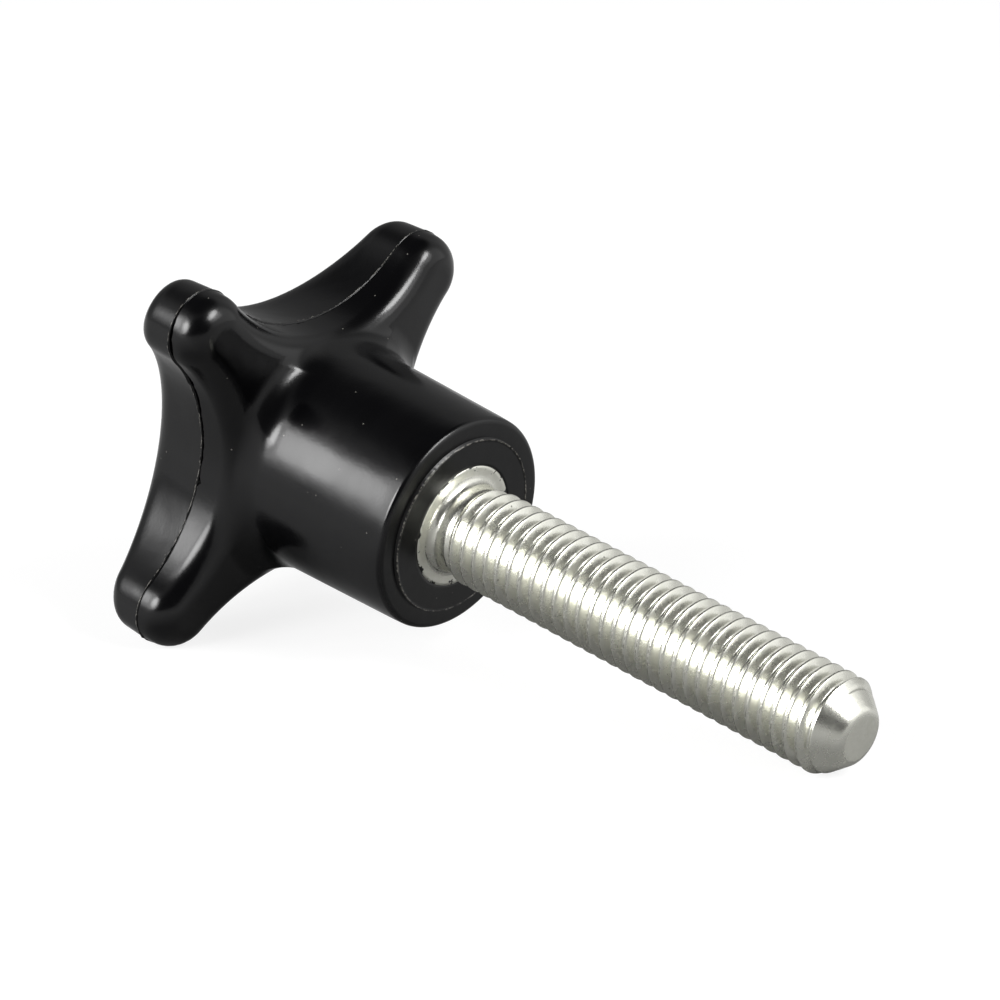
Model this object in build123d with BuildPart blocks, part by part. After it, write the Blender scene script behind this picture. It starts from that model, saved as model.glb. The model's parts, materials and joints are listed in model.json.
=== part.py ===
"""Cross knob: a four-armed moulded grip on a threaded steel stud.

The knob lies as it comes to rest on a bench: on its two lower arms and the end of its stud.
Every piece is drawn on planes of the stud's axis, and that axis is tilted to the rest.
Sizes are in millimetres, +Z is up, and the stud runs towards +X.
"""

import os
from math import asin, atan2, cos, degrees, hypot, radians, sin, sqrt, tan

from build123d import *

# Stud: an M10 x 1.5 screw thread, drawn plain at its major diameter.
thread_d = 10.0
thread_pitch = 1.5
stud_length = 50.0
point_length = 2.8
point_flat_d = 5.4
point_edge_r = 1.2

# Neck between the collar and the first turn, left at the diameter the thread is rolled from.
neck_length = 1.6
neck_fillet = 0.9

# Head of the stud inside the moulding: a flush collar, a waist and a fluted anchor.
collar_d = 12.6
collar_depth = 3.0
waist_d = 9.0
waist_length = 3.0
anchor_length = 6.0
flute_count = 12
flute_r = 0.8

# Hub: a drafted boss, with a disc standing proud where the mould held the stud.
hub_d = 22.2
hub_draft = 1.5
hub_edge_r = 0.6
disc_d = 18.1
disc_step = 0.35

# Cross: the outline at the parting plane, drafted both ways from it.
arm_count = 4
parting_depth = 23.8
arm_reach = 25.2
arm_tip_r = 4.05
scallop_land = 0.78
front_draft = 4.0
back_draft = 3.0

# Front and back faces of the cross, as heights from the parting plane.
front_root_height = 5.1
front_tip_height = 3.3
back_crown_height = 8.0
back_tip_height = 4.0

# Roundings of the cross.
front_edge_r = 2.8
back_edge_r = 2.0
root_fillet = 3.5

# How far a drafted blank runs past the face that trims it.
blank_margin = 1.0

# How near a circular edge comes to a radius when it is picked by it.
radius_tolerance = 0.0001

# Stud radii, and distances along its axis. The neck is at the ISO metric pitch diameter.
thread_r = thread_d / 2
collar_r = collar_d / 2
neck_r = thread_r - 3 * sqrt(3) / 16 * thread_pitch
thread_start = neck_length + thread_r - neck_r
point_start = stud_length - point_length
point_r = point_flat_d / 2
anchor_top = collar_depth + waist_length

# Hub radii: of the disc, of its end face and at the parting plane.
disc_r = disc_d / 2
hub_r = hub_d / 2
hub_root_r = hub_r + parting_depth * tan(radians(hub_draft))

# Cross outline: each scallop stops short of the hub by its land, and is tangent to two tip arcs.
arm_step = 360 / arm_count
half_step = radians(arm_step / 2)
tip_centre = arm_reach - arm_tip_r
tip_side = tip_centre * sin(half_step)
scallop_floor_r = hub_root_r + scallop_land
tip_offset = scallop_floor_r - arm_tip_r
scallop_centre = (tip_centre**2 - tip_offset**2) / (2 * (tip_centre * cos(half_step) - tip_offset))
scallop_r = scallop_centre - scallop_floor_r
tip_sweep = degrees(
    atan2(scallop_centre * sin(half_step), scallop_centre * cos(half_step) - tip_centre)
)

# Envelope that trims the cross: a cone in front, from its apex on the axis, and a dome behind.
envelope_r = arm_reach + blank_margin
front_root_depth = parting_depth - front_root_height
front_slope = (front_root_height - front_tip_height) / (arm_reach - hub_r)
front_apex_depth = front_root_depth - front_slope * hub_r
front_rim_depth = front_root_depth + front_slope * (envelope_r - hub_r)
back_crown_depth = parting_depth + back_crown_height
dome_drop = back_crown_height - back_tip_height
dome_r = (arm_reach**2 + dome_drop**2) / (2 * dome_drop)

# Rest: the line that touches the stud's last full turn and the front rim of a lower arm's tip.
wall_drop = tip_centre * cos(half_step) + arm_tip_r
rim_r = hypot(tip_side, wall_drop - front_edge_r)
rim_depth = front_root_depth + front_slope * (rim_r - hub_r) + front_edge_r * hypot(1, front_slope)
rim_drop = (
    wall_drop
    - (parting_depth - rim_depth) * tan(radians(front_draft))
    - front_edge_r / cos(radians(front_draft))
)
rest_run = point_start + rim_depth
rest_fall = rim_drop - thread_r
rest_tilt = atan2(rest_fall, rest_run) + asin(front_edge_r / hypot(rest_run, rest_fall))

# Origin on the bench, midway between the stud's end and the heel over the lower scallop.
heel_r = scallop_floor_r - back_crown_height * tan(radians(back_draft)) - back_edge_r
heel_depth = back_crown_depth - heel_r**2 / (2 * dome_r)
front_extent = stud_length * cos(rest_tilt) + point_r * sin(rest_tilt)
back_extent = heel_depth * cos(rest_tilt) + heel_r * sin(rest_tilt)
face_x = (back_extent - front_extent) / 2
face_height = point_start * sin(rest_tilt) + thread_r * cos(rest_tilt)

# Planes of the stud's axis: across it at the hub's end face, and along it, with Y to the point.
face_plane = Plane(
    origin=(face_x, 0, face_height),
    x_dir=(0, 1, 0),
    z_dir=(cos(rest_tilt), 0, -sin(rest_tilt)),
)
side_plane = Plane(
    origin=face_plane.origin, x_dir=face_plane.x_dir, z_dir=-face_plane.y_dir
)
stud_axis = Axis(face_plane.origin, face_plane.z_dir)
parting_plane = face_plane.offset(-parting_depth)


def polar(radius, angle):
    """Point at a radius and an angle in degrees."""
    return (radius * cos(radians(angle)), radius * sin(radians(angle)))


def rings(piece, radius):
    """Circular edges of one radius, from the back of the knob to the stud's point."""
    circles = piece.edges().filter_by(GeomType.CIRCLE)
    matches = circles.filter_by(lambda edge: abs(edge.radius - radius) < radius_tolerance)
    return matches.sort_by(stud_axis)


def cross_outline():
    """Tip arcs and scallop arcs, each tangent to the next."""
    for arm in range(arm_count):
        tip_angle = (arm + 0.5) * arm_step
        CenterArc(
            polar(tip_centre, tip_angle), arm_tip_r, tip_angle - tip_sweep, 2 * tip_sweep
        )
        CenterArc(
            polar(scallop_centre, tip_angle + arm_step / 2),
            scallop_r,
            tip_angle + tip_sweep + 180,
            arm_step - 2 * tip_sweep,
        )


def stud_head(mode):
    """Collar, waist and fluted anchor, added to the stud or taken out of the moulding."""
    with BuildSketch(face_plane) as collar:
        Circle(collar_r)
    extrude(collar.sketch, amount=-collar_depth, mode=mode)
    with BuildSketch(face_plane.offset(-collar_depth)) as waist:
        Circle(waist_d / 2)
    extrude(waist.sketch, amount=-waist_length, mode=mode)
    with BuildSketch(face_plane.offset(-anchor_top)) as anchor:
        Circle(collar_r)
        with PolarLocations(collar_r, flute_count):
            Circle(flute_r, mode=Mode.SUBTRACT)
    extrude(anchor.sketch, amount=-anchor_length, mode=mode)


# Threaded stud: head in the moulding, neck, plain thread diameter and chamfered point.
with BuildPart() as threaded_stud:
    with BuildSketch(side_plane):
        with BuildLine():
            Polyline(
                (0, 0),
                (neck_r, 0),
                (neck_r, neck_length),
                (thread_r, thread_start),
                (thread_r, point_start),
                (point_r, stud_length),
                (0, stud_length),
                close=True,
            )
        make_face()
    revolve(axis=stud_axis)
    stud_head(Mode.ADD)
    fillet(rings(threaded_stud, point_r), point_edge_r)
    fillet(rings(threaded_stud, neck_r)[0], neck_fillet)

# Arms: the drafted cross, trimmed by a dome behind and a cone in front, each rim rounded.
with BuildPart() as arms:
    with BuildSketch(parting_plane) as outline:
        with BuildLine():
            cross_outline()
        make_face()
    extrude(outline.sketch, amount=front_root_height + blank_margin, taper=front_draft)
    extrude(outline.sketch, amount=-(back_crown_height + blank_margin), taper=back_draft)
    with Locations(face_plane.offset(dome_r - back_crown_depth)):
        Sphere(dome_r, rotation=(90, 0, 0), mode=Mode.INTERSECT)
    fillet(arms.edges(Select.NEW), back_edge_r)
    with BuildSketch(side_plane) as front:
        with BuildLine():
            Polyline(
                (0, -front_apex_depth),
                (envelope_r, -front_rim_depth),
                (envelope_r, -back_crown_depth),
                (0, -back_crown_depth),
                close=True,
            )
        make_face()
    revolve(front.sketch, axis=stud_axis, mode=Mode.INTERSECT)
    fillet(arms.edges(Select.NEW), front_edge_r)

# Knob body: the hub turned, joined to the arms with a fillet and emptied round the stud's head.
with BuildPart() as knob_body:
    with BuildSketch(side_plane):
        with BuildLine():
            Polyline(
                (0, 0),
                (disc_r, 0),
                (disc_r, -disc_step),
                (hub_r, -disc_step),
                (hub_root_r, -parting_depth),
                (0, -parting_depth),
                close=True,
            )
        make_face()
    revolve(axis=stud_axis)
    fillet(rings(knob_body, hub_r), hub_edge_r)
    add(arms.part)
    fillet(knob_body.edges(Select.NEW), root_fillet)
    stud_head(Mode.SUBTRACT)

os.makedirs("parts", exist_ok=True)
knob_body.part.label = "knob_body"
threaded_stud.part.label = "threaded_stud"
export_step(knob_body.part, "parts/knob_body.step")
export_step(threaded_stud.part, "parts/threaded_stud.step")
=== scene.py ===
"""Looks of a cross knob: black moulded arms and hub on a rolled, zinc plated M10 stud.

Lengths inside the shape functions are in millimetres, in the stud's own frame: X across the knob,
Y upwards and Z along the stud from the hub's end face. Every mesh is turned into the row frame, in
metres, by one matrix that is read from the part's mounts.
"""

import json
import math
from types import SimpleNamespace

import bmesh
import bpy
import numpy as np
from mathutils import Matrix, Vector


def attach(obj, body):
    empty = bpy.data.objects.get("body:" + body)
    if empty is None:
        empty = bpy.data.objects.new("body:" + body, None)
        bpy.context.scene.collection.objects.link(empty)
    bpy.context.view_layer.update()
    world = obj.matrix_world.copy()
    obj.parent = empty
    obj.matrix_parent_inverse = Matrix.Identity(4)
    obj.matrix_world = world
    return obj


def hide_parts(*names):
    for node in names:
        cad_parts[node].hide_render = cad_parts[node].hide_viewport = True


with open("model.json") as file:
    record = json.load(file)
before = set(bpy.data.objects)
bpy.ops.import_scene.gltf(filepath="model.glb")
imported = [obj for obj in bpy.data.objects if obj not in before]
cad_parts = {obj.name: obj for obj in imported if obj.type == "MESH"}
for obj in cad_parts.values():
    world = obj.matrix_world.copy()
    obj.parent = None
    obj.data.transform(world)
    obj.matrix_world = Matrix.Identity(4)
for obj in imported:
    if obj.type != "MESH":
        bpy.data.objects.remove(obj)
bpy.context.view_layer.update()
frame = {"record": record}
MOUNTS = {mount["name"]: mount for mount in frame["record"]["mounts"]}

bl_info = {
    "name": "Cross knob",
    "version": (1, 0, 0),
    "blender": (4, 5, 0),
    "location": "3D View > Sidebar > Cross knob",
    "description": "A moulded cross knob with a rolled, zinc plated stud",
    "category": "Object",
}

MM = 0.001
SEED = 7
FLUTES = 12
STUD_RADIUS = MOUNTS["stud"]["dims"]["r_mm"]

# Columns of points round the stud, round an arm's end and along a hollow between two arms.
STUD_COLUMNS = 96
TIP_COLUMNS = 36
SCALLOP_COLUMNS = 104

# Points nearer than this, in millimetres, are merged. A ray's end is found by this many halvings.
MERGE_DISTANCE = 0.0005
HALVINGS = 34

# ISO metric thread, in shares of the pitch: crest flat, thread depth and root radius.
CREST_SHARE = 1 / 8
THREAD_SHARE = 0.6134
ROOT_SHARE = 0.1443

# Rolling closes each crest from both sides and leaves a fine seam along its middle.
SEAM_SHARE = 0.014
SEAM_DEPTH = 0.04

# Where rows of points run along half a turn, in pitches from the middle of the crest.
CREST_ROWS = (0, 0.02, 0.045, 0.07, 0.094, 0.15, 0.25, 0.34, 0.4, 0.45, 0.5)

# Where the first crest stands, and how far the thread takes to rise out of the neck, in pitches.
FIRST_CREST = 0.45
THREAD_RUN_IN = 1.0

# Where the moulding's edge is torn along the parting line: angle, spread and strength.
TEARS = ((147, 9, 1.0), (168, 13, 0.3), (189, 1.3, 0.6))


# ---------------------------------------------------------------- sizes and colours


def length(name, millimetres, description):
    """A length property whose default is given in millimetres."""
    return bpy.props.FloatProperty(
        name=name, description=description, default=millimetres * MM, unit="LENGTH", precision=5
    )


def angle(name, degrees, description):
    """An angle property whose default is given in degrees."""
    return bpy.props.FloatProperty(
        name=name, description=description, default=math.radians(degrees), subtype="ANGLE"
    )


def colour(name, hex_value, description):
    """A colour property whose default is an sRGB hex value."""
    return bpy.props.FloatVectorProperty(
        name=name, description=description, subtype="COLOR", size=3, default=linear(hex_value)
    )


def linear(hex_value):
    """An sRGB hex colour as linear red, green and blue."""
    channels = [int(hex_value[i : i + 2], 16) / 255 for i in (1, 3, 5)]
    return tuple(
        c / 12.92 if c <= 0.04045 else ((c + 0.055) / 1.055) ** 2.4 for c in channels
    )


class KnobSizes(bpy.types.PropertyGroup):
    hub_radius: length("Hub radius", 11.1, "Radius of the hub at its end face")
    hub_edge: length("Hub edge", 0.6, "Rounding between the hub's wall and its end face")
    disc_radius: length("Disc radius", 9.05, "Radius of the disc standing proud of the end face")
    disc_step: length("Disc step", 0.35, "How far the disc stands proud")
    parting_depth: length("Parting depth", 23.8, "Depth of the parting plane behind the end face")
    arm_reach: length("Arm reach", 25.2, "From the axis to the end of an arm")
    tip_radius: length("Tip radius", 4.05, "Rounding of an arm's end, seen along the stud")
    scallop_land: length("Scallop land", 0.78, "Between the hub and the hollows between the arms")
    front_root: length("Front root height", 5.1, "Arms' front over the parting plane, at the hub")
    front_tip: length("Front tip height", 3.3, "Arms' front over the parting plane, at their ends")
    back_crown: length("Back crown height", 8.0, "Domed back behind the parting plane, at the axis")
    back_tip: length("Back tip height", 4.0, "Domed back behind the parting plane, at the ends")
    front_edge: length("Front edge", 2.8, "Rounding of the arms' front rim")
    back_edge: length("Back edge", 2.0, "Rounding of the arms' back rim")
    root_fillet: length("Root fillet", 3.5, "Fillet between the hub and the arms")
    flash: length("Flash", 0.25, "Most that the fin along the parting line stands out")
    hub_draft: angle("Hub draft", 1.5, "Taper of the hub's wall")
    front_draft: angle("Front draft", 4.0, "Taper of the arms' walls ahead of the parting plane")
    back_draft: angle("Back draft", 3.0, "Taper of the arms' walls behind the parting plane")


class StudSizes(bpy.types.PropertyGroup):
    thread_radius: length("Thread radius", STUD_RADIUS, "Major radius of the thread")
    pitch: length("Pitch", 1.5, "Pitch of the thread")
    stud_length: length("Stud length", 50.0, "From the hub's end face to the point")
    point_length: length("Point length", 2.8, "Length of the chamfered point")
    point_flat: length("Point flat radius", 2.7, "Radius of the flat at the point")
    point_edge: length("Point edge", 1.2, "Rounding between the point's chamfer and its flat")
    neck_length: length("Neck length", 1.6, "Length of the plain neck")
    neck_fillet: length("Neck fillet", 0.9, "Fillet between the neck and the collar")
    collar_radius: length("Collar radius", 6.3, "Radius of the flush collar")
    collar_depth: length("Collar depth", 3.0, "Thickness of the collar in the moulding")
    waist_radius: length("Waist radius", 4.5, "Radius of the waist in the moulding")
    waist_length: length("Waist length", 3.0, "Length of the waist in the moulding")
    anchor_length: length("Anchor length", 6.0, "Length of the fluted anchor in the moulding")
    flute_radius: length("Flute radius", 0.8, "Radius of a flute in the anchor")


class KnobColours(bpy.types.PropertyGroup):
    phenolic: colour("Phenolic", "#030304", "The black moulding")
    dust: colour("Dust", "#8E8B84", "Dust and torn edges on the moulding")
    zinc: colour("Zinc", "#F1F1E9", "The zinc plating")
    zinc_shade: colour("Dull zinc", "#DCDCD0", "Duller clouds in the plating")
    # The pits' colour also paints the shade in the seam along the thread's crest.
    pit_and_seam_shade: colour("Pits", "#4A483C", "Pits and dirt in the plating")
    floor: colour("Floor", "#7E7E7E", "The floor's own matte grey")


def sizes(group):
    """The lengths of a property group in millimetres and its angles in radians, by name."""
    values = {}
    for key, prop in group.bl_rna.properties.items():
        if prop.type == "FLOAT":
            values[key] = getattr(group, key) / (MM if prop.unit == "LENGTH" else 1)
    return SimpleNamespace(**values)


# ---------------------------------------------------------------- frames and surfaces


def stud_frame():
    """Matrix from the stud's own frame to the row frame."""
    axis = Vector(MOUNTS["stud"]["axis"]).normalized()
    on_axis = Vector(MOUNTS["stud"]["pos_m"])
    on_face = Vector(MOUNTS["hub_face"]["pos_m"])
    centre = on_axis + axis * (on_face - on_axis).dot(axis)
    across = Vector((0, 1, 0))
    upwards = axis.cross(across)
    return Matrix.Translation(centre) @ Matrix((across, upwards, axis)).transposed().to_4x4()


def bearing(around, above):
    """Unit vector towards a bearing, in degrees round from +X and up from the floor."""
    around, above = math.radians(around), math.radians(above)
    level = math.cos(above)
    return Vector((level * math.cos(around), level * math.sin(around), math.sin(above)))


def place(name, points, faces):
    """A smooth mesh object in the row frame, from points in the stud's frame in millimetres."""
    mesh = bpy.data.meshes.new(name)
    mesh.from_pydata(np.asarray(points) * MM, [], faces)
    shape = bmesh.new()
    shape.from_mesh(mesh)
    bmesh.ops.remove_doubles(shape, verts=shape.verts, dist=MERGE_DISTANCE * MM)
    bmesh.ops.dissolve_degenerate(shape, edges=shape.edges, dist=MERGE_DISTANCE * MM)
    shape.to_mesh(mesh)
    shape.free()
    mesh.transform(stud_frame())
    mesh.shade_smooth()
    piece = bpy.data.objects.new(name, mesh)
    bpy.context.scene.collection.objects.link(piece)
    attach(piece, "root")
    return piece


def skin(rings, near_cap=True, far_cap=True):
    """Points and faces of a surface through rings of equally many points.

    A fan closes each end that has a cap. On its outside the rings run towards the stud's point.
    """
    rows, columns, _ = rings.shape
    points = [tuple(p) for p in rings.reshape(-1, 3)]
    faces = []
    for row in range(rows - 1):
        here, there = row * columns, (row + 1) * columns
        for i in range(columns):
            j = (i + 1) % columns
            faces.append((here + i, here + j, there + j, there + i))
    for wanted, row, turn in ((near_cap, 0, 1), (far_cap, rows - 1, -1)):
        if not wanted:
            continue
        centre = len(points)
        points.append(tuple(rings[row].mean(axis=0)))
        start = row * columns
        for i in range(columns):
            edge = (start + (i + 1) % columns, start + i)[::turn]
            faces.append((centre, *edge))
    return points, faces


# ---------------------------------------------------------------- the moulding's shape


def dot(a, b):
    """Dot product of arrays of vectors."""
    return (a * b).sum(axis=-1)


def rounded_edge(a, a_normal, b, b_normal, radius):
    """Where two half spaces meet, with the edge rounded by a ball of the given radius.

    a and b are signed distances, negative inside. Returns the distance and its normal.
    """
    lean = dot(a_normal, b_normal)
    spread = np.maximum(1 - lean**2, 1e-6)
    a_share = ((a + radius) - lean * (b + radius)) / spread
    b_share = ((b + radius) - lean * (a + radius)) / spread
    from_ball = a_share[..., None] * a_normal + b_share[..., None] * b_normal
    reach = np.maximum(np.linalg.norm(from_ball, axis=-1), 1e-9)
    corner = (a_share > 0) & (b_share > 0)
    distance = np.where(corner, reach - radius, np.maximum(a, b))
    flat = np.where((a > b)[..., None], a_normal, b_normal)
    normal = np.where(corner[..., None], from_ball / reach[..., None], flat)
    return distance, normal


class KnobShape:
    """Signed distance to the moulding, from its sizes in millimetres."""

    def __init__(self, knob):
        self.knob = knob
        half = math.pi / 4
        self.tip_centre = knob.arm_reach - knob.tip_radius
        self.tip_xy = self.tip_centre * math.sin(half)
        hub_root = knob.hub_radius + knob.parting_depth * math.tan(knob.hub_draft)
        self.floor_radius = hub_root + knob.scallop_land
        offset = self.floor_radius - knob.tip_radius
        self.scallop_centre = (self.tip_centre**2 - offset**2) / (2 * (self.tip_xy - offset))
        self.scallop_radius = self.scallop_centre - self.floor_radius
        self.tip_sweep = math.atan2(
            self.scallop_centre * math.sin(half),
            self.scallop_centre * math.cos(half) - self.tip_centre,
        )
        self.slope = (knob.front_root - knob.front_tip) / (knob.arm_reach - knob.hub_radius)
        self.apex = knob.parting_depth - knob.front_root - self.slope * knob.hub_radius
        drop = knob.back_crown - knob.back_tip
        self.dome_radius = (knob.arm_reach**2 + drop**2) / (2 * drop)
        self.dome_centre = self.dome_radius - knob.parting_depth - knob.back_crown
        # Rays to the arms' walls and faces start on this circle in the parting plane.
        self.fan_radius = 0.81 * knob.hub_radius

    def outline(self, x, y):
        """Distance to the cross at the parting plane, and its slope in x and y."""
        swap = np.abs(y) > np.abs(x)
        u = np.where(swap, np.abs(y), np.abs(x))
        v = np.where(swap, np.abs(x), np.abs(y))
        tip_u, tip_v = u - self.tip_xy, v - self.tip_xy
        hollow_u, hollow_v = u - self.scallop_centre, v
        outer = (self.scallop_centre - self.tip_xy) * tip_v + self.tip_xy * tip_u > 0
        tip_far = np.maximum(np.hypot(tip_u, tip_v), 1e-9)
        hollow_far = np.hypot(hollow_u, hollow_v)
        distance = np.where(
            outer, tip_far - self.knob.tip_radius, self.scallop_radius - hollow_far
        )
        slope_u = np.where(outer, tip_u / tip_far, -hollow_u / hollow_far)
        slope_v = np.where(outer, tip_v / tip_far, -hollow_v / hollow_far)
        slope_x = np.where(swap, slope_v, slope_u) * np.where(x < 0, -1, 1)
        slope_y = np.where(swap, slope_u, slope_v) * np.where(y < 0, -1, 1)
        return distance, slope_x, slope_y

    def arms(self, points):
        """Distance and normal of the cross, drafted both ways and rounded along both rims."""
        knob = self.knob
        x, y, z = np.moveaxis(points, -1, 0)
        in_front = z > -knob.parting_depth
        draft = np.where(in_front, knob.front_draft, knob.back_draft)
        flat, slope_x, slope_y = self.outline(x, y)
        wall = (flat + np.tan(draft) * np.abs(z + knob.parting_depth)) * np.cos(draft)
        lift = np.sin(draft) * np.where(in_front, 1, -1)
        wall_normal = np.stack((np.cos(draft) * slope_x, np.cos(draft) * slope_y, lift), -1)
        radius = np.maximum(np.hypot(x, y), 1e-9)
        steep = math.hypot(1, self.slope)
        front = (z + self.apex + self.slope * radius) / steep
        front_normal = np.stack(
            (self.slope * x / radius, self.slope * y / radius, np.ones_like(x)), -1
        ) / steep
        from_dome = points - np.array((0, 0, self.dome_centre))
        dome_far = np.linalg.norm(from_dome, axis=-1)
        dome = dome_far - self.dome_radius
        dome_normal = from_dome / dome_far[..., None]
        ahead = rounded_edge(wall, wall_normal, front, front_normal, knob.front_edge)
        behind = rounded_edge(wall, wall_normal, dome, dome_normal, knob.back_edge)
        distance = np.where(in_front, ahead[0], behind[0])
        normal = np.where(in_front[..., None], ahead[1], behind[1])
        return distance, normal

    def distance(self, points):
        """Distance to the arms and the hub, with the fillet between them."""
        knob = self.knob
        x, y, z = np.moveaxis(points, -1, 0)
        arms, arms_normal = self.arms(points)
        radius = np.maximum(np.hypot(x, y), 1e-9)
        narrow = math.cos(knob.hub_draft)
        hub = (radius - knob.hub_radius + z * math.tan(knob.hub_draft)) * narrow
        hub_normal = np.stack(
            (
                narrow * x / radius,
                narrow * y / radius,
                np.full_like(x, math.sin(knob.hub_draft)),
            ),
            -1,
        )
        joined = -rounded_edge(-hub, -hub_normal, -arms, -arms_normal, knob.root_fillet)[0]
        return np.where(z > -knob.parting_depth, joined, arms)

    def columns(self):
        """Angles round the axis, evenly spread along each arc of the cross's outline."""
        angles = []
        for quarter in range(4):
            arm = math.pi / 4 + quarter * math.pi / 2
            for turn in np.linspace(-self.tip_sweep, self.tip_sweep, TIP_COLUMNS, endpoint=False):
                x = self.tip_centre + self.knob.tip_radius * math.cos(turn)
                y = self.knob.tip_radius * math.sin(turn)
                angles.append(arm + math.atan2(y, x))
            hollow = math.pi / 2 - 2 * self.tip_sweep
            middle = arm + math.pi / 4
            start = self.tip_sweep - math.pi / 4
            for turn in np.linspace(start, start + hollow, SCALLOP_COLUMNS, endpoint=False):
                x = self.scallop_centre - self.scallop_radius * math.cos(turn)
                y = -self.scallop_radius * math.sin(turn)
                angles.append(middle + math.atan2(y, x))
        return np.array(angles)

    def cast(self, origins, directions, angles):
        """Where rays in the planes through the axis leave the moulding, as rings.

        Each ring starts from one (radius, depth) pair, or from one at each angle.
        """
        near = np.zeros((len(origins), len(angles)))
        far = np.full_like(near, 2 * self.knob.arm_reach)
        ways = np.stack((np.cos(angles), np.sin(angles)), -1)

        def along(reach):
            radius = origins[..., 0] + reach * directions[..., 0]
            depth = origins[..., 1] + reach * directions[..., 1]
            flat = radius[..., None] * ways[None]
            return np.concatenate((flat, -depth[..., None]), -1)

        for _ in range(HALVINGS):
            middle = (near + far) / 2
            inside = self.distance(along(middle)) < 0
            near = np.where(inside, middle, near)
            far = np.where(inside, far, middle)
        return along(near)


def flute_radii(angles, radius, flute, count):
    """Radius of a cylinder with round flutes, at each angle."""
    pitch = 2 * math.pi / count
    off = (angles + pitch / 2) % pitch - pitch / 2
    chord = flute**2 - (radius * np.sin(off)) ** 2
    cut = radius * np.cos(off) - np.sqrt(np.maximum(chord, 0))
    return np.where((chord > 0) & (np.cos(off) > 0), np.minimum(cut, radius), radius)


def flat_ring(radii, depth, angles):
    """One ring across the axis, at a depth behind the hub's end face."""
    return np.stack((radii * np.cos(angles), radii * np.sin(angles), -depth + 0 * angles), -1)


def spin(profile, angles):
    """Rings of revolution through (radius, depth) pairs."""
    return np.array([flat_ring(radius, depth, angles) for radius, depth in profile])


def anchor_rings(stud, angles):
    """Rings at the far and the near end of the fluted anchor."""
    radii = flute_radii(angles, stud.collar_radius, stud.flute_radius, FLUTES)
    near = stud.collar_depth + stud.waist_length
    depths = (near + stud.anchor_length, near)
    return np.array([flat_ring(radii, depth, angles) for depth in depths])


def head_profile(stud):
    """(radius, depth) pairs over the waist and the collar, from the anchor to the end face."""
    return [
        (stud.waist_radius, stud.collar_depth + stud.waist_length),
        (stud.waist_radius, stud.collar_depth),
        (stud.collar_radius, stud.collar_depth),
        (stud.collar_radius, 0),
    ]


def arc(centre, radius, start, end, steps):
    """(radius, depth) pairs along an arc; angles in degrees from straight outwards."""
    turns = np.radians(np.linspace(start, end, steps))
    return [(centre[0] + radius * math.cos(t), centre[1] - radius * math.sin(t)) for t in turns]


def ragged(angles, grains, seed):
    """Even noise round the axis, from 0 to 1, with about the given number of grains."""
    knots = np.random.default_rng(seed).random(grains)
    turns = (angles / (2 * math.pi)) % 1 * grains
    return np.interp(turns, np.arange(grains + 1), np.append(knots, knots[0]))


def tears(angles, places):
    """How far the edge of the moulding is torn at each angle, from 0 to 1."""
    torn = np.zeros_like(angles)
    for middle, spread, strength in places:
        off = (np.degrees(angles) - middle + 180) % 360 - 180
        torn = np.maximum(torn, strength * np.exp(-((off / spread) ** 2)))
    return torn


def parting_rings(shape, angles):
    """Rings across the parting line: a thin ragged fin, and a torn groove in front of it."""
    knob = shape.knob
    torn = tears(angles, TEARS)
    fine = ragged(angles, 700, SEED)
    coarse = ragged(angles, 160, SEED + 1)
    fin = knob.flash * (0.15 + 0.85 * fine * coarse)
    groove = knob.flash * (0.3 * coarse + 4.0 * torn * (0.7 + 0.3 * fine))
    width = knob.flash * (0.2 + 0.3 * fine + 2.2 * torn * (0.5 + 0.2 * fine + 0.3 * coarse))
    half = 0.2 * knob.flash
    # Each row: how far in front of the parting plane it runs, and how far out of the wall.
    rows = (
        (-5 * half, 0),
        (-1.6 * half, 0),
        (-1.1 * half, 0),
        (-half, fin),
        (half, fin),
        (1.1 * half, -0.4 * groove),
        (1.6 * half, -groove),
        (0.6 * half + width, -groove),
        (1.6 * half + width, 0),
        (2.0 * half + width, 0),
        (2.8 * half + width, 0),
    )
    start = np.array([[(shape.fan_radius, knob.parting_depth)]])
    wall = shape.cast(start, np.array((1.0, 0.0)), angles)[0]
    _, out_x, out_y = shape.outline(wall[:, 0], wall[:, 1])
    rings = []
    for ahead, out in rows:
        shifted = wall.copy()
        draft = knob.front_draft if np.max(ahead) > 0 else knob.back_draft
        lift = out - np.abs(ahead) * math.tan(draft)
        shifted[:, 0] += lift * out_x
        shifted[:, 1] += lift * out_y
        shifted[:, 2] += ahead
        rings.append(shifted)
    return np.array(rings)


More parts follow.
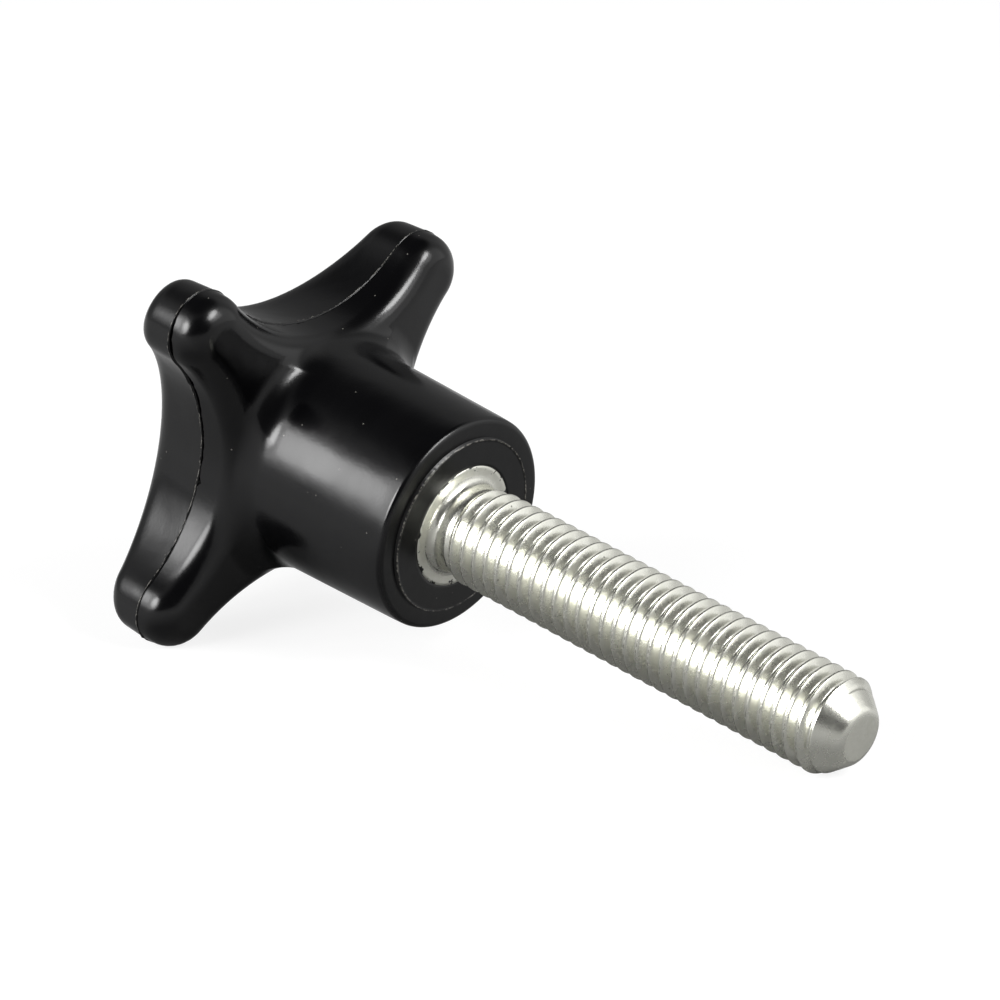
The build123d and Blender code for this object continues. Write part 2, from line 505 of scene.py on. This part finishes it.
def moulding_rings(knob, stud):
    """Rings of the moulding, from its back over the arms and the hub into its cavity."""
    shape = KnobShape(knob)
    angles = shape.columns()
    fan_centre = (shape.fan_radius, knob.parting_depth)
    radii = np.linspace(0.4, shape.fan_radius, 9)[:-1]
    start = np.stack((radii, np.full_like(radii, knob.parting_depth)), -1)
    back = shape.cast(start[:, None], np.array((0.0, 1.0)), angles)
    # Bearings of the rays behind and ahead of the parting plane, closest towards the arms' rims.
    behind = np.concatenate((np.linspace(-90, -20, 22, endpoint=False), np.linspace(-20, -5, 18)))
    ahead = np.concatenate((np.linspace(12, 46, 40, endpoint=False), np.linspace(46, 75, 19)))
    fans = []
    for turns in (np.radians(behind), np.radians(ahead)):
        ways = np.stack((np.cos(turns), -np.sin(turns)), -1)[:, None]
        fans.append(shape.cast(np.tile(fan_centre, (len(turns), 1, 1)), ways, angles))
    parting = parting_rings(shape, angles)
    if np.any(parting[-1, :, 2] > fans[1][0, :, 2]):
        raise ValueError("a tear in the parting line is too wide for the rows in front of it")
    shares = np.linspace(0, 1, 8)[1:-1, None]
    depths = -parting[-1, :, 2] + shares * (parting[-1, :, 2] - fans[1][0, :, 2])
    start = np.stack((np.full_like(depths, shape.fan_radius), depths), -1)
    front = shape.cast(start, np.array((1.0, 0.0)), angles)
    fan = np.concatenate((fans[0], parting, front, fans[1]))
    step = knob.disc_step
    edge_centre = (knob.hub_radius - knob.hub_edge, step + knob.hub_edge)
    wall = [(knob.hub_radius + d * math.tan(knob.hub_draft), d) for d in np.linspace(13, 2, 8)]
    end = arc(edge_centre, knob.hub_edge, 0, 90, 9)
    # The edge of the disc carries a ragged burr, lower than the flash.
    burr = 0.6 * knob.flash * ragged(angles, 260, SEED + 2) * ragged(angles, 60, SEED + 3)
    end += [(knob.disc_radius + 0.1, step), (knob.disc_radius, step)]
    end += [(knob.disc_radius, -burr), (knob.disc_radius - 0.05, -burr)]
    end += [(knob.disc_radius - 0.08, 0)]
    end += [(r, 0) for r in np.linspace(knob.disc_radius - 0.3, stud.collar_radius + 0.3, 5)]
    hub = spin(wall + end + head_profile(stud)[::-1], angles)
    return np.concatenate((back, fan, hub, anchor_rings(stud, angles)[::-1]))


# ---------------------------------------------------------------- the stud's shape


def thread_radius(turns, stud):
    """Radius of the rolled thread, where turns counts pitches from the middle of a crest."""
    off = np.abs((turns + 0.5) % 1 - 0.5)
    crest_ball = CREST_SHARE / 2 * stud.pitch / math.tan(math.pi / 6)
    flank = stud.thread_radius + crest_ball - off * stud.pitch / math.tan(math.pi / 6)
    root_ball = ROOT_SHARE * stud.pitch
    root = stud.thread_radius - THREAD_SHARE * stud.pitch
    from_root = (0.5 - off) * stud.pitch
    bowl = root + root_ball - np.sqrt(np.maximum(root_ball**2 - from_root**2, 0))
    radius = np.where(from_root < root_ball * math.cos(math.pi / 6), bowl, flank)
    from_crest = off * stud.pitch
    crown = stud.thread_radius - crest_ball + np.sqrt(np.maximum(crest_ball**2 - from_crest**2, 0))
    radius = np.where(from_crest < crest_ball * math.cos(math.pi / 6), crown, radius)
    return radius - SEAM_DEPTH * np.exp(-((off / SEAM_SHARE) ** 2))


def neck_radius(stud):
    """The blank's radius: half the pitch diameter of an ISO metric thread."""
    return stud.thread_radius - 3 * math.sqrt(3) / 16 * stud.pitch


def nose_profile(stud):
    """(radius, distance along the stud) pairs over the chamfered and rounded point."""
    run = np.array((stud.point_flat - stud.thread_radius, stud.point_length))
    run /= np.linalg.norm(run)
    lean = math.atan2(-run[0], run[1])
    trim = stud.point_edge * math.tan((math.pi / 2 - lean) / 2)
    shoulder = np.array((stud.thread_radius, stud.stud_length - stud.point_length))
    meets = np.array((stud.point_flat, stud.stud_length)) - run * trim
    slope = shoulder + np.linspace(0, 1, 12, endpoint=False)[:, None] * (meets - shoulder)
    turns = np.linspace(lean, math.pi / 2, 12)[:, None]
    ball = np.array((stud.point_flat - trim, stud.stud_length - stud.point_edge))
    rounded = ball + stud.point_edge * np.concatenate((np.cos(turns), np.sin(turns)), 1)
    return np.concatenate((slope, rounded))


def thread_grid(stud, first, last, angles):
    """Points and faces of the helical surface between two distances along the stud."""
    shares = np.array(sorted({*CREST_ROWS, *(1 - share for share in CREST_ROWS[1:])}))
    start = math.floor(first / stud.pitch) - 3
    end = math.ceil(last / stud.pitch) + 2
    turns = np.concatenate([whole + shares for whole in range(start, end)])
    lead = angles / (2 * math.pi) + FIRST_CREST
    along = np.clip((turns[:, None] + lead) * stud.pitch, first, last)
    neck = neck_radius(stud)
    rise = np.clip((along - stud.neck_length) / (THREAD_RUN_IN * stud.pitch), 0, 1)
    rise = rise * rise * (3 - 2 * rise)
    radius = neck + rise * (thread_radius(along / stud.pitch - lead, stud) - neck)
    nose = nose_profile(stud)
    radius = np.minimum(radius, np.interp(along, nose[:, 1], nose[:, 0]))
    points = np.stack((radius * np.cos(angles), radius * np.sin(angles), along), -1)
    rows, columns = along.shape
    faces = []
    for row in range(rows - 1):
        here = row * columns
        for i in range(columns - 1):
            faces.append((here + i, here + i + 1, here + columns + i + 1, here + columns + i))
        there = (row + len(shares)) * columns
        if row + len(shares) + 1 < rows:
            faces.append((here + columns - 1, there, there + columns, here + 2 * columns - 1))
    return points.reshape(-1, 3), faces


def join(*parts):
    """One list of points and faces from several."""
    points, faces = [], []
    for part_points, part_faces in parts:
        start = len(points)
        points.extend(tuple(point) for point in part_points)
        faces.extend(tuple(start + corner for corner in face) for face in part_faces)
    return points, faces


def stud_surface(stud):
    """Points and faces of the whole stud: anchor, waist, collar, neck, thread and point."""
    angles = np.linspace(0, 2 * math.pi, STUD_COLUMNS, endpoint=False)
    neck = neck_radius(stud)
    fillet = stud.neck_fillet
    flare = neck + fillet
    profile = head_profile(stud)
    profile += [(r, 0) for r in np.linspace(stud.collar_radius, flare, 4)[1:-1]]
    profile += arc((flare, -fillet), fillet, 270, 180, 9)
    head = np.concatenate((anchor_rings(stud, angles), spin(profile, angles)))
    nose = nose_profile(stud)
    shallow = stud.thread_radius - THREAD_SHARE * stud.pitch - SEAM_DEPTH
    last = np.interp(-shallow, -nose[:, 0], nose[:, 1])
    beyond = [(r, -z) for r, z in nose if z > last]
    flat = [(r, -stud.stud_length) for r in np.linspace(beyond[-1][0], 0.2, 6)[1:]]
    tip = spin([(shallow, -last)] + beyond + flat, angles)
    return join(
        skin(head, far_cap=False),
        thread_grid(stud, fillet, last, angles),
        skin(tip, near_cap=False),
    )


# ---------------------------------------------------------------- materials


def add(tree, kind, inputs=None, **settings):
    """Add a shader node with its settings, and fill its inputs with values or links."""
    made = tree.nodes.new("ShaderNode" + kind)
    for key, value in settings.items():
        setattr(made, key, value)
    for key, value in (inputs or {}).items():
        if isinstance(value, bpy.types.NodeSocket):
            tree.links.new(value, made.inputs[key])
        else:
            made.inputs[key].default_value = value
    return made


def empty_material(name):
    """A material with an empty node tree, and that tree."""
    material = bpy.data.materials.new(name)
    material.use_nodes = True
    material.node_tree.nodes.clear()
    return material, material.node_tree


def opaque(value):
    """A colour with full alpha."""
    return (*value, 1.0)


def along_stud(tree):
    """Texture coordinates in the stud's frame, in metres."""
    turned = stud_frame()
    place_in = add(tree, "TexCoord").outputs["Object"]
    return add(
        tree,
        "Mapping",
        {"Vector": place_in, "Location": turned.translation, "Rotation": turned.to_euler()},
        vector_type="TEXTURE",
    ).outputs["Vector"]


def from_axis(tree, place_in):
    """Distance from the stud's axis, in metres."""
    flat = add(tree, "VectorMath", {0: place_in, 1: (1, 1, 0)}, operation="MULTIPLY")
    return add(
        tree, "VectorMath", {0: flat.outputs["Vector"]}, operation="LENGTH"
    ).outputs["Value"]


def turning(tree, way, towards, cosines, levels, **settings):
    """A level that goes from one to another as a direction turns towards a bearing."""
    nearness = add(
        tree, "VectorMath", {0: way, 1: towards}, operation="DOT_PRODUCT"
    ).outputs["Value"]
    return add(
        tree,
        "MapRange",
        {
            "Value": nearness,
            "From Min": cosines[0],
            "From Max": cosines[1],
            "To Min": levels[0],
            "To Max": levels[1],
        },
        **settings,
    ).outputs["Result"]


def specks(tree, place_in, share, edge, strength):
    """Round specks, one in each of a share of cells 1.1 mm wide, fading out at an edge.

    The edge is in cells from a speck's middle.
    """
    cells = add(tree, "TexVoronoi", {"Vector": place_in, "Scale": 0.9 / MM}).outputs
    draw = add(tree, "SeparateColor", {"Color": cells["Color"]}).outputs["Red"]
    chosen = add(tree, "Math", {0: draw, 1: 1 - share}, operation="GREATER_THAN").outputs["Value"]
    speck = add(
        tree,
        "MapRange",
        {
            "Value": cells["Distance"],
            "From Min": 0.03,
            "From Max": edge,
            "To Min": strength,
            "To Max": 0.0,
        },
    ).outputs["Result"]
    return add(tree, "Math", {0: speck, 1: chosen}, operation="MULTIPLY").outputs["Value"]


def torn_edges(tree, place_in, knob):
    """Where the moulding's flash was broken off and left dull, pale crumbs, from 0 to 1."""
    depth = add(tree, "SeparateXYZ", {"Vector": place_in}).outputs["Z"]
    at_parting = add(
        tree,
        "Math",
        {0: depth, 1: -(knob.parting_depth + 0.03) * MM, 2: 0.05 * MM},
        operation="COMPARE",
    ).outputs["Value"]
    near_disc = add(
        tree,
        "Math",
        {0: from_axis(tree, place_in), 1: knob.disc_radius * MM, 2: 0.12 * MM},
        operation="COMPARE",
    ).outputs["Value"]
    at_face = add(
        tree, "Math", {0: depth, 1: 0.0, 2: 0.1 * MM}, operation="COMPARE"
    ).outputs["Value"]
    round_disc = add(
        tree, "Math", {0: near_disc, 1: at_face}, operation="MULTIPLY"
    ).outputs["Value"]
    # The crumbs along the parting line are fainter than those round the disc.
    edges = add(
        tree, "Math", {0: at_parting, 1: 0.7, 2: round_disc}, operation="MULTIPLY_ADD"
    ).outputs["Value"]
    # Crumbs come in grains near 0.45 mm.
    crumbs = add(
        tree, "TexNoise", {"Vector": place_in, "Scale": 2.2 / MM, "Detail": 3.0, "Roughness": 0.7}
    ).outputs["Fac"]
    pale = add(
        tree,
        "MapRange",
        {"Value": crumbs, "From Min": 0.46, "From Max": 0.62, "To Min": 0.0, "To Max": 0.85},
    ).outputs["Result"]
    return add(tree, "Math", {0: edges, 1: pale}, operation="MULTIPLY").outputs["Value"]


def moulded_phenolic(colours, knob):
    """Phenolic, compression moulded against polished steel.

    A deep black gloss whose reflections waver a little, with dust lying on it. Where its flash
    was broken off it is dull and pale in places.
    """
    material, tree = empty_material("moulded_phenolic")
    place_in = along_stud(tree)
    # The walls aren't quite true, and their reflections waver over 3 to 6 mm.
    waver = add(
        tree, "TexNoise", {"Vector": place_in, "Scale": 0.22 / MM, "Detail": 2.0, "Roughness": 0.4}
    ).outputs["Fac"]
    # The polishing marks left by the steel are too fine to show, so they are drawn at 0.25 mm.
    grain = add(
        tree, "TexNoise", {"Vector": place_in, "Scale": 4 / MM, "Detail": 1.0}
    ).outputs["Fac"]
    polish = add(
        tree,
        "MapRange",
        {"Value": waver, "From Min": 0.3, "From Max": 0.7, "To Min": 0.15, "To Max": 0.23},
    ).outputs["Result"]
    # The end face is duller than the walls, and mirrors no clear stud.
    depth = add(tree, "SeparateXYZ", {"Vector": place_in}).outputs["Z"]
    dull = add(
        tree,
        "MapRange",
        {
            "Value": depth,
            "From Min": -0.7 * MM,
            "From Max": -0.4 * MM,
            "To Min": 0.0,
            "To Max": 0.14,
        },
    ).outputs["Result"]
    rough = add(tree, "Math", {0: polish, 1: dull}, operation="ADD").outputs["Value"]
    # Most dust is too fine to show, so its specks are drawn at 0.13 mm.
    dust = specks(tree, place_in, share=0.1, edge=0.09, strength=0.5)
    pale = add(
        tree, "Math", {0: dust, 1: torn_edges(tree, place_in, knob)}, operation="MAXIMUM"
    ).outputs["Value"]
    base = add(
        tree,
        "Mix",
        {"Factor": pale, "A": opaque(colours.phenolic), "B": opaque(colours.dust)},
        data_type="RGBA",
    ).outputs["Result"]
    wave = add(
        tree, "Bump", {"Height": waver, "Strength": 0.12, "Distance": 0.6 * MM}
    ).outputs["Normal"]
    fine = add(
        tree, "Bump", {"Height": grain, "Strength": 0.04, "Distance": 0.1 * MM, "Normal": wave}
    ).outputs["Normal"]
    # Phenolic is typically 1.5 to 1.6. Here 1.44 matches the tone of its reflections.
    shader = add(
        tree,
        "BsdfPrincipled",
        {"Base Color": base, "Roughness": rough, "IOR": 1.44, "Normal": fine},
    ).outputs["BSDF"]
    add(tree, "OutputMaterial", {"Surface": shader})
    return material


def crest_seam_shade(tree, place_in, grain, stud):
    """Painted shade in the seam along the thread's crest, in patches, from 0 to 1."""
    # The crest is where the distance along the stud keeps step with the angle round it.
    apart = add(tree, "SeparateXYZ", {"Vector": place_in}).outputs
    turned = add(
        tree, "Math", {0: apart["Y"], 1: apart["X"]}, operation="ARCTAN2"
    ).outputs["Value"]
    lead = add(
        tree,
        "Math",
        {0: turned, 1: -0.5 / math.pi, 2: -FIRST_CREST},
        operation="MULTIPLY_ADD",
    ).outputs["Value"]
    turns = add(
        tree, "Math", {0: apart["Z"], 1: 1 / (stud.pitch * MM), 2: lead}, operation="MULTIPLY_ADD"
    ).outputs["Value"]
    off = add(tree, "Math", {0: turns, 1: 0.5}, operation="PINGPONG").outputs["Value"]
    seam = add(
        tree,
        "MapRange",
        {"Value": off, "From Min": 0.012, "From Max": 0.035, "To Min": 1.0, "To Max": 0.0},
    ).outputs["Result"]
    # None is painted where the thread is cut away, at the neck and at the point.
    crest = stud.thread_radius * MM
    full = add(
        tree,
        "MapRange",
        {
            "Value": from_axis(tree, place_in),
            "From Min": crest - 0.3 * MM,
            "From Max": crest - 0.1 * MM,
        },
    ).outputs["Result"]
    patchy = add(
        tree,
        "MapRange",
        {"Value": grain, "From Min": 0.35, "From Max": 0.6, "To Min": 0.0, "To Max": full},
    ).outputs["Result"]
    return add(tree, "Math", {0: seam, 1: patchy}, operation="MULTIPLY").outputs["Value"]


def rolled_zinc(colours, stud):
    """Bright zinc plate over a rolled steel thread.

    Silvery and a little olive, smooth on the flanks, with small pits, and with painted shade in
    the seam that rolling leaves along each crest.
    """
    material, tree = empty_material("rolled_zinc")
    place_in = along_stud(tree)
    # Clouds of duller plating, 2 mm wide.
    cloud = add(
        tree, "TexNoise", {"Vector": place_in, "Scale": 0.5 / MM, "Detail": 4.0, "Roughness": 0.6}
    ).outputs["Fac"]
    # The plating's grain is too fine to show, so it is drawn at 0.33 mm.
    grain = add(
        tree, "TexNoise", {"Vector": place_in, "Scale": 3 / MM, "Detail": 2.0}
    ).outputs["Fac"]
    tone = add(
        tree,
        "Mix",
        {"Factor": cloud, "A": opaque(colours.zinc), "B": opaque(colours.zinc_shade)},
        data_type="RGBA",
    ).outputs["Result"]
    # The pits are near 0.14 mm across.
    pits = specks(tree, place_in, share=0.3, edge=0.1, strength=1.0)
    # The pits, and the painted shade in the crest seam, share one dark colour.
    pits_and_seam_shade = add(
        tree,
        "Math",
        {0: pits, 1: crest_seam_shade(tree, place_in, grain, stud)},
        operation="MAXIMUM",
    ).outputs["Value"]
    base = add(
        tree, "Mix", {"Factor": pits_and_seam_shade, "A": tone, "B": opaque(colours.pit_and_seam_shade)}, data_type="RGBA"
    ).outputs["Result"]
    rough = add(
        tree,
        "MapRange",
        {"Value": cloud, "From Min": 0.3, "From Max": 0.7, "To Min": 0.23, "To Max": 0.31},
    ).outputs["Result"]
    bump = add(
        tree, "Bump", {"Height": grain, "Strength": 0.1, "Distance": 0.1 * MM}
    ).outputs["Normal"]
    shader = add(
        tree,
        "BsdfPrincipled",
        {"Base Color": base, "Metallic": 1.0, "Roughness": rough, "Normal": bump},
    ).outputs["BSDF"]
    add(tree, "OutputMaterial", {"Surface": shader})
    return material


def turned_zinc(colours, stud):
    """Zinc plate over the collar's turned face and the cut end: matte, pale and finely mottled.

    Black flecks of the moulding lie over the collar's rim.
    """
    material, tree = empty_material("turned_zinc")
    place_in = along_stud(tree)
    # The mottle's grain is too fine to show, so it is drawn at 0.67 mm.
    mottle = add(
        tree, "TexNoise", {"Vector": place_in, "Scale": 1.5 / MM, "Detail": 4.0, "Roughness": 0.7}
    ).outputs["Fac"]
    tone = add(
        tree,
        "Mix",
        {"Factor": mottle, "A": opaque(colours.zinc), "B": opaque(colours.zinc_shade)},
        data_type="RGBA",
    ).outputs["Result"]
    # The flecks come in grains of 1 mm, within 1 mm of the rim.
    rim = stud.collar_radius * MM
    nearness = add(
        tree,
        "MapRange",
        {
            "Value": from_axis(tree, place_in),
            "From Min": rim - 1.0 * MM,
            "From Max": rim,
            "To Min": 0.0,
            "To Max": 0.26,
        },
    ).outputs["Result"]
    spill = add(
        tree, "TexNoise", {"Vector": place_in, "Scale": 1 / MM, "Detail": 3.0, "Roughness": 0.6}
    ).outputs["Fac"]
    level = add(tree, "Math", {0: nearness, 1: spill}, operation="ADD").outputs["Value"]
    film = add(
        tree,
        "MapRange",
        {"Value": level, "From Min": 0.77, "From Max": 0.79, "To Min": 0.0, "To Max": 1.0},
    ).outputs["Result"]
    base = add(
        tree, "Mix", {"Factor": film, "A": tone, "B": opaque(colours.phenolic)}, data_type="RGBA"
    ).outputs["Result"]
    bare = add(tree, "Math", {0: 1.0, 1: film}, operation="SUBTRACT").outputs["Value"]
    bump = add(
        tree, "Bump", {"Height": mottle, "Strength": 0.3, "Distance": 0.1 * MM}
    ).outputs["Normal"]
    shader = add(
        tree,
        "BsdfPrincipled",
        {"Base Color": base, "Metallic": bare, "Roughness": 0.45, "Normal": bump},
    ).outputs["BSDF"]
    add(tree, "OutputMaterial", {"Surface": shader})
    return material


def painted_board(colours):
    """A matte painted board that the camera sees made up to white, and reflections much less so,
    with a painted sheen.
    """
    material, tree = empty_material("painted_board")
    board = add(tree, "BsdfDiffuse", {"Color": opaque(colours.floor)}).outputs["BSDF"]
    path = add(tree, "LightPath").outputs
    mirrored = add(
        tree,
        "Math",
        {0: path["Is Glossy Ray"], 1: path["Is Transmission Ray"]},
        operation="MAXIMUM",
    ).outputs["Value"]
    # Reflections see the board dimmer than the camera does, as a painted sheen: least from above,
    # most at a slant.
    slant = add(tree, "LayerWeight").outputs["Facing"]
    painted_sheen = add(
        tree,
        "MapRange",
        {"Value": slant, "From Min": 0.25, "From Max": 0.75, "To Min": 0.0, "To Max": 0.42},
    ).outputs["Result"]
    # The painted sheen is dimmer still towards the front right, a painted reflection of the dark
    # room there.
    across = add(tree, "TexCoord").outputs["Object"]
    outwards = add(tree, "VectorMath", {0: across}, operation="NORMALIZE").outputs["Vector"]
    room = turning(tree, outwards, bearing(-30, 0), (0.5, 0.85), (1.0, 0.5))
    painted_room_sheen = add(tree, "Math", {0: painted_sheen, 1: room}, operation="MULTIPLY").outputs["Value"]
    faint = add(tree, "Math", {0: mirrored, 1: painted_room_sheen}, operation="MULTIPLY").outputs["Value"]
    seen = add(
        tree,
        "Math",
        {0: path["Is Camera Ray"], 1: 0.84, 2: faint},
        operation="MULTIPLY_ADD",
    ).outputs["Value"]
    glow = add(tree, "Emission", {"Color": (1, 1, 1, 1), "Strength": seen}).outputs["Emission"]
    both = add(tree, "AddShader", {0: board, 1: glow}).outputs["Shader"]
    add(tree, "OutputMaterial", {"Surface": both})
    return material


# ---------------------------------------------------------------- operators


class KNOB_OT_stage(bpy.types.Operator):
    """Set the camera, the floor, the lamps and the world"""

    bl_idname = "cross_knob.stage"
    bl_label = "Stage"

    def execute(self, context):
        scene = context.scene
        scene.view_settings.view_transform = "Standard"
        add_camera(scene)
        add_floor(scene)
        add_lamps(scene)
        add_room(scene)
        return {"FINISHED"}


def add_camera(scene):
    """Camera from the front right, a little above the knob."""
    aim = Vector((-5.39, 2.03, 16.93)) * MM
    distance = 433.77 * MM
    away = bearing(-47.605, 17.847)
    roll = math.radians(-0.539)
    lens = bpy.data.cameras.new("camera")
    lens.lens = 161.46
    lens.sensor_width = 36.0
    lens.clip_start = 0.01
    camera = bpy.data.objects.new("camera", lens)
    turn = away.to_track_quat("Z", "Y").to_matrix() @ Matrix.Rotation(roll, 3, "Z")
    camera.matrix_world = Matrix.Translation(aim + away * distance) @ turn.to_4x4()
    scene.collection.objects.link(camera)
    scene.camera = camera


def add_floor(scene):
    """A board under the knob, wide enough to fill the view."""
    half = 1.5
    mesh = bpy.data.meshes.new("floor")
    corners = [(-half, -half, 0), (half, -half, 0), (half, half, 0), (-half, half, 0)]
    mesh.from_pydata(corners, [], [(0, 1, 2, 3)])
    mesh.materials.append(painted_board(scene.knob_colours))
    board = bpy.data.objects.new("floor", mesh)
    scene.collection.objects.link(board)


def soft_lamp(scene, name, around, above, wide, high, radiance, lean=0):
    """An oval lamp facing the knob; its bearings, angular size and lean are in degrees."""
    distance = 0.8
    light = bpy.data.lights.new(name, "AREA")
    light.shape = "ELLIPSE"
    light.size = 2 * distance * math.tan(math.radians(wide / 2))
    light.size_y = 2 * distance * math.tan(math.radians(high / 2))
    # An oval of even radiance gives off pi times that for each square metre.
    light.energy = math.pi * radiance * math.pi / 4 * light.size * light.size_y
    away = bearing(around, above)
    lamp = bpy.data.objects.new(name, light)
    turn = away.to_track_quat("Z", "Y").to_matrix() @ Matrix.Rotation(math.radians(lean), 3, "Z")
    knob_middle = Vector((0, 0, 20 * MM))
    lamp.matrix_world = Matrix.Translation(knob_middle + away * distance) @ turn.to_4x4()
    scene.collection.objects.link(lamp)


def add_lamps(scene):
    """Two flash heads behind a sheet on the left, one on the right, with what they spill."""
    soft_lamp(scene, "left_spill", -116, 22, 52, 44, 1.0)
    soft_lamp(scene, "left_glow", -110, 22, 44, 38, 3.0)
    soft_lamp(scene, "left_near_head", -125, 23, 12, 24, 6.0)
    soft_lamp(scene, "left_far_head", -97, 21, 27, 30, 8.0)
    soft_lamp(scene, "left_far_heart", -97, 24, 18, 18, 4.5)
    soft_lamp(scene, "right_spill", 11, 31, 36, 26, 1.9)
    soft_lamp(scene, "right_head", 7.5, 41, 31, 17, 15.0, lean=34)


def add_room(scene):
    """Pale walls round the set, dark overhead and on the camera's side."""
    world = bpy.data.worlds.new("room")
    world.use_nodes = True
    tree = world.node_tree
    tree.nodes.clear()
    way = add(tree, "TexCoord").outputs["Generated"]
    smooth = {"interpolation_type": "SMOOTHSTEP"}
    walls = turning(tree, way, bearing(-42, 0), (0.4, 0.8), (0.45, 0.0), **smooth)
    far_wall = turning(tree, way, bearing(150, 15), (0.5, 0.9), (1.0, 0.4), **smooth)
    right_wall = turning(tree, way, bearing(32, 10), (0.75, 0.9), (0.0, 0.6), **smooth)
    below_roof = turning(tree, way, Vector((0, 0, 1)), (0.7, 0.9), (1.0, 0.0), **smooth)
    round_set = add(
        tree, "Math", {0: walls, 1: far_wall, 2: right_wall}, operation="MULTIPLY_ADD"
    ).outputs["Value"]
    level = add(
        tree, "Math", {0: round_set, 1: below_roof, 2: 0.05}, operation="MULTIPLY_ADD"
    ).outputs["Value"]
    room = add(
        tree, "Background", {"Color": (1, 1, 1, 1), "Strength": level}
    ).outputs["Background"]
    add(tree, "OutputWorld", {"Surface": room})
    scene.world = world


class KNOB_OT_moulding(bpy.types.Operator):
    """Make the moulded arms and hub"""

    bl_idname = "cross_knob.moulding"
    bl_label = "Moulding"

    def execute(self, context):
        scene = context.scene
        rings = moulding_rings(sizes(scene.knob_sizes), sizes(scene.stud_sizes))
        piece = place("moulding", *skin(rings))
        piece.data.materials.append(moulded_phenolic(scene.knob_colours, sizes(scene.knob_sizes)))
        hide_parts("knob_body")
        return {"FINISHED"}


class KNOB_OT_stud(bpy.types.Operator):
    """Make the rolled stud"""

    bl_idname = "cross_knob.stud"
    bl_label = "Stud"

    def execute(self, context):
        scene = context.scene
        stud = sizes(scene.stud_sizes)
        piece = place("stud", *stud_surface(stud))
        piece.data.materials.append(rolled_zinc(scene.knob_colours, stud))
        piece.data.materials.append(turned_zinc(scene.knob_colours, stud))
        # The collar's face and the cut end are turned, and all between them is rolled.
        to_stud = stud_frame().inverted()
        for face in piece.data.polygons:
            along = (to_stud @ face.center).z / MM
            face.material_index = 0 if 0.01 < along < stud.stud_length - 0.01 else 1
        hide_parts("threaded_stud")
        return {"FINISHED"}


class KNOB_PT_panel(bpy.types.Panel):
    """Steps that make the knob, in order"""

    bl_label = "Cross knob"
    bl_space_type = "VIEW_3D"
    bl_region_type = "UI"
    bl_category = "Cross knob"

    def draw(self, context):
        for step in STEPS:
            self.layout.operator(step.bl_idname)


GROUPS = {"knob_sizes": KnobSizes, "stud_sizes": StudSizes, "knob_colours": KnobColours}
STEPS = (KNOB_OT_stage, KNOB_OT_moulding, KNOB_OT_stud)


def register():
    """Register the classes and hang the property groups on the scene."""
    for item in (*GROUPS.values(), *STEPS, KNOB_PT_panel):
        bpy.utils.register_class(item)
    for name, group in GROUPS.items():
        setattr(bpy.types.Scene, name, bpy.props.PointerProperty(type=group))


def unregister():
    """Undo what register did."""
    for name in GROUPS:
        delattr(bpy.types.Scene, name)
    for item in (*GROUPS.values(), *STEPS, KNOB_PT_panel):
        bpy.utils.unregister_class(item)


def main():
    """Make the knob and its stage."""
    register()
    for step in STEPS:
        group, _, name = step.bl_idname.partition(".")
        getattr(getattr(bpy.ops, group), name)()


if __name__ == "__main__":
    main()
